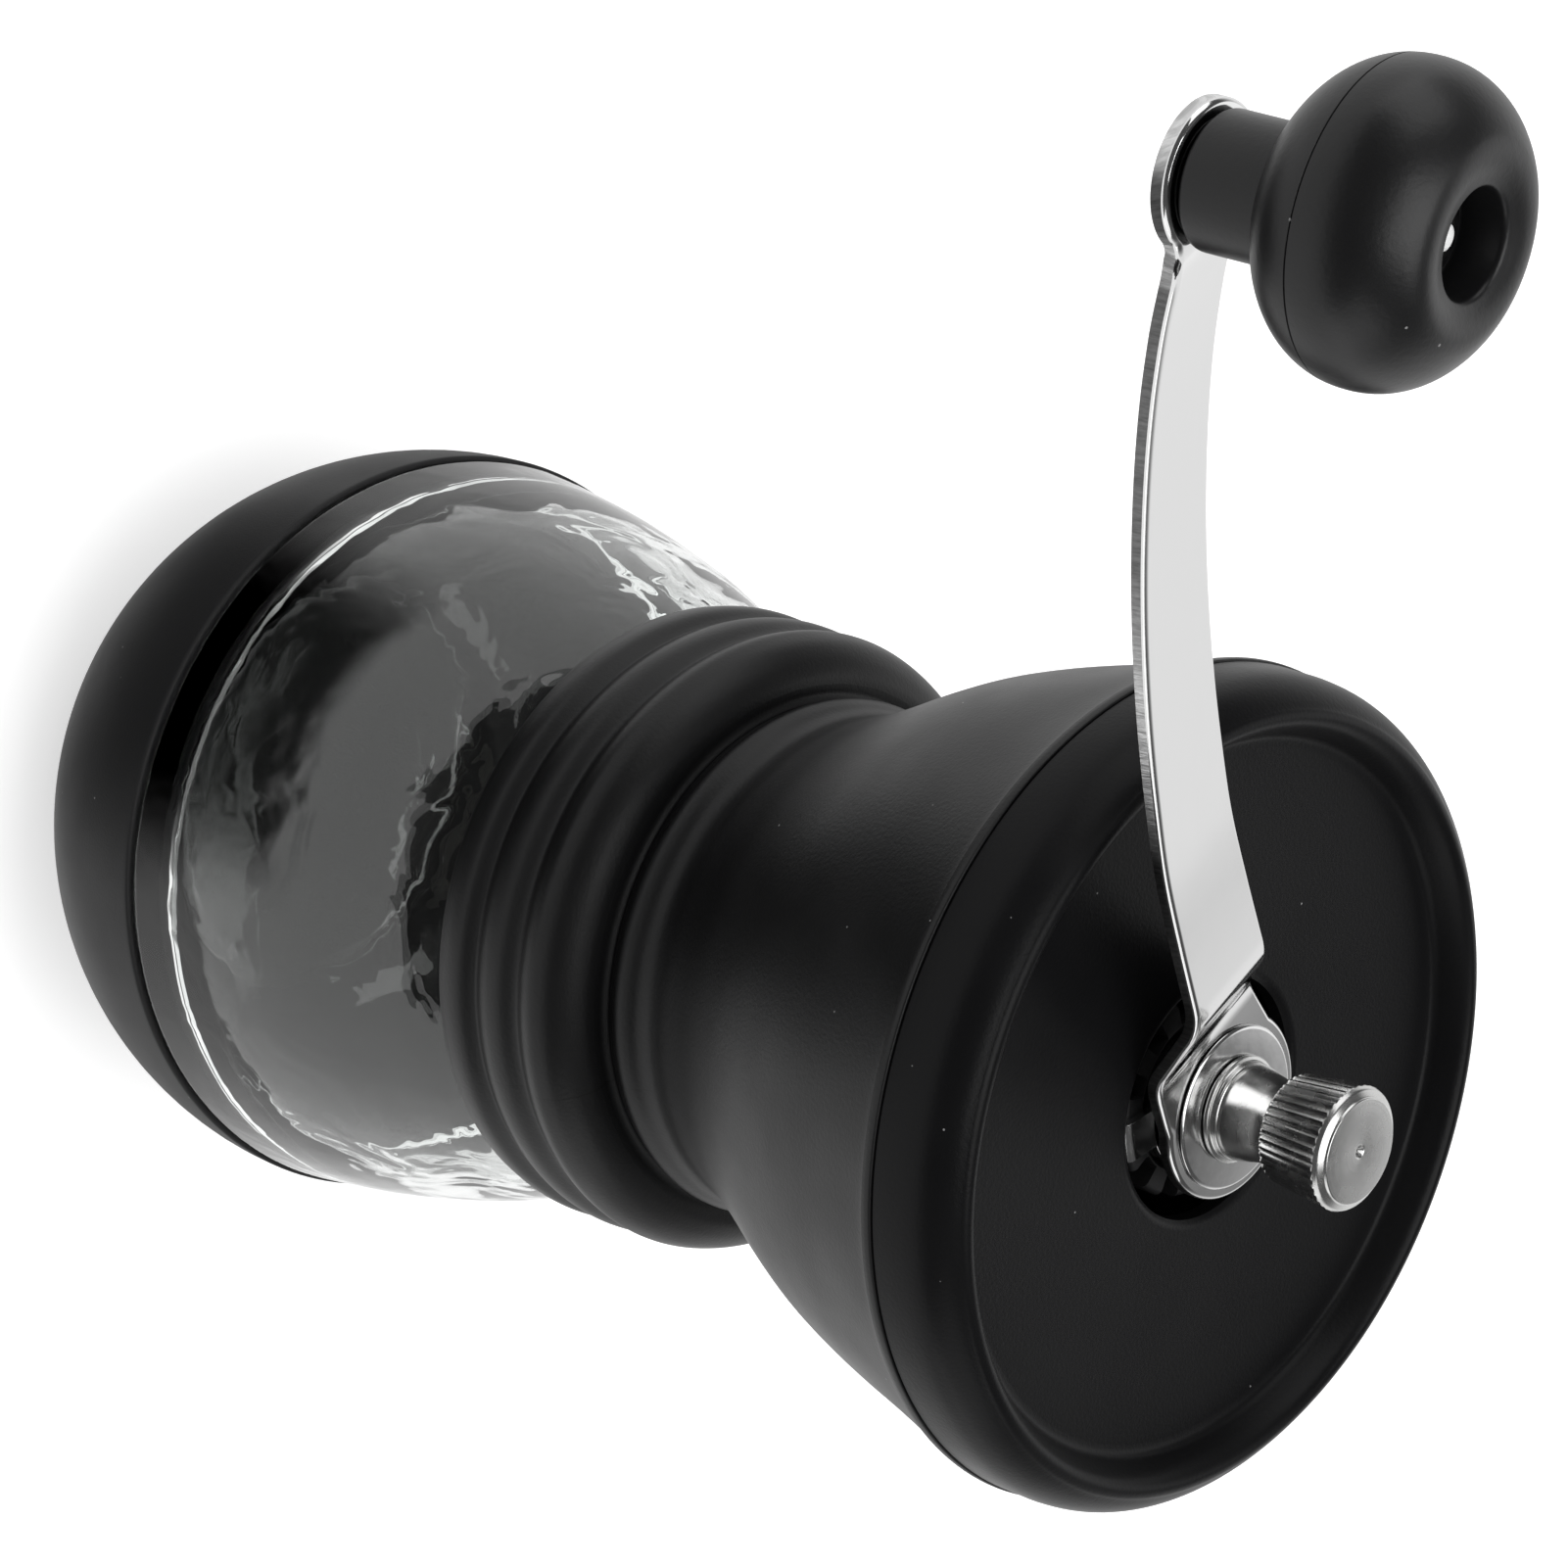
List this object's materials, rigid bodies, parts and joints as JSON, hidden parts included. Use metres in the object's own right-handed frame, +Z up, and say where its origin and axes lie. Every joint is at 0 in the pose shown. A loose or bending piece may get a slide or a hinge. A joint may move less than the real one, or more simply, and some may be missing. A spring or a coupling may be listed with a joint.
{
  "type": "manual coffee grinder",
  "caption": "Hand-cranked ceramic burr coffee mill: a flared hopper with a lid and a ribbed collar on a bulbous glass jar in a rubber cup, with a bowed steel crank and a turning knob",
  "frame": {"origin": "on the mill's axis, at the rubber cup's flat foot", "axes": "+Z up along the shaft, +X from the shaft towards the crank's knob, +Y across it"},
  "size_m": [0.1722, 0.093, 0.2229],
  "materials": {
    "rubber_cup": "matte moulded rubber",
    "jar_glass": "clear pressed glass",
    "silicone": "translucent silicone",
    "black_plastic": "fine-grained moulded polypropylene",
    "lid_plastic": "fine-grained moulded polypropylene",
    "knob_plastic": "satin moulded plastic",
    "acetal": "natural acetal",
    "ceramic": null,
    "crank_steel": "polished stainless strip",
    "turned_steel": "turned stainless steel",
    "plated_steel": "bright pressed steel",
    "spring_steel": "drawn spring wire"
  },
  "bodies": {
    "gasket": {"jar_gasket": "silicone"},
    "jar": {"base_cup": "rubber_cup", "glass_jar": "jar_glass"},
    "housing": {"collar": "black_plastic", "hopper": "black_plastic", "top_bridge": "black_plastic", "low_bridge": "black_plastic", "upper_bush": "acetal", "lower_bush": "acetal", "outer_burr": "ceramic", "burr_holder": "black_plastic", "holder_screw_1": "plated_steel", "holder_screw_2": "plated_steel", "holder_screw_3": "plated_steel"},
    "cover": {"lid": "lid_plastic"},
    "drive": {"drive_shaft": "turned_steel", "crank_arm": "crank_steel", "inner_burr": "ceramic", "burr_carrier": "black_plastic", "shaft_clip": "spring_steel", "adjusting_nut": "black_plastic", "spring_washer": "plated_steel", "burr_spring": "spring_steel", "knob_pin": "turned_steel", "knob_washer": "black_plastic", "knob_clip": "spring_steel"},
    "lock": {"lock_plate": "plated_steel"},
    "washer": {"nut_washer": "plated_steel"},
    "thumb": {"thumb_nut": "turned_steel"},
    "knob": {"knob_stem": "knob_plastic", "knob_back": "knob_plastic", "knob_front": "knob_plastic"}
  },
  "joints": [
    {"name": "jar_turn", "type": "hinge", "parent": "gasket", "child": "jar", "pos_m": [0, 0, 0.09], "axis": [0, 0, -1], "range_deg": [0, 450]},
    {"name": "housing_rise", "type": "slide", "parent": "gasket", "child": "housing", "axis": [0, 0, 1], "range_m": [0, 0.005]},
    {"name": "lid_lift", "type": "slide", "parent": "housing", "child": "cover", "axis": [0, 0, 1], "range_m": [0, 0.001]},
    {"name": "crank_turn", "type": "hinge", "parent": "housing", "child": "drive", "pos_m": [0, 0, 0.14], "axis": [0, 0, 1], "continuous": true},
    {"name": "lock_lift", "type": "slide", "parent": "drive", "child": "lock", "axis": [0, 0, 1], "range_m": [0, 0.002]},
    {"name": "thumb_rise", "type": "slide", "parent": "drive", "child": "washer", "axis": [0, 0, 1], "range_m": [0, 0.008]},
    {"name": "thumb_turn", "type": "hinge", "parent": "washer", "child": "thumb", "pos_m": [0, 0, 0.17], "axis": [0, 0, 1], "range_deg": [0, 2880]},
    {"name": "knob_spin", "type": "hinge", "parent": "drive", "child": "knob", "pos_m": [0.11387, 0, 0.215], "axis": [-0.1366, 0, 0.9906], "continuous": true}
  ],
  "couplings": [
    {"joint": "housing_rise", "follows": "jar_turn", "m_per_rad": 0.00063662},
    {"joint": "thumb_turn", "follows": "thumb_rise", "rad_per_m": 6283.2}
  ]
}
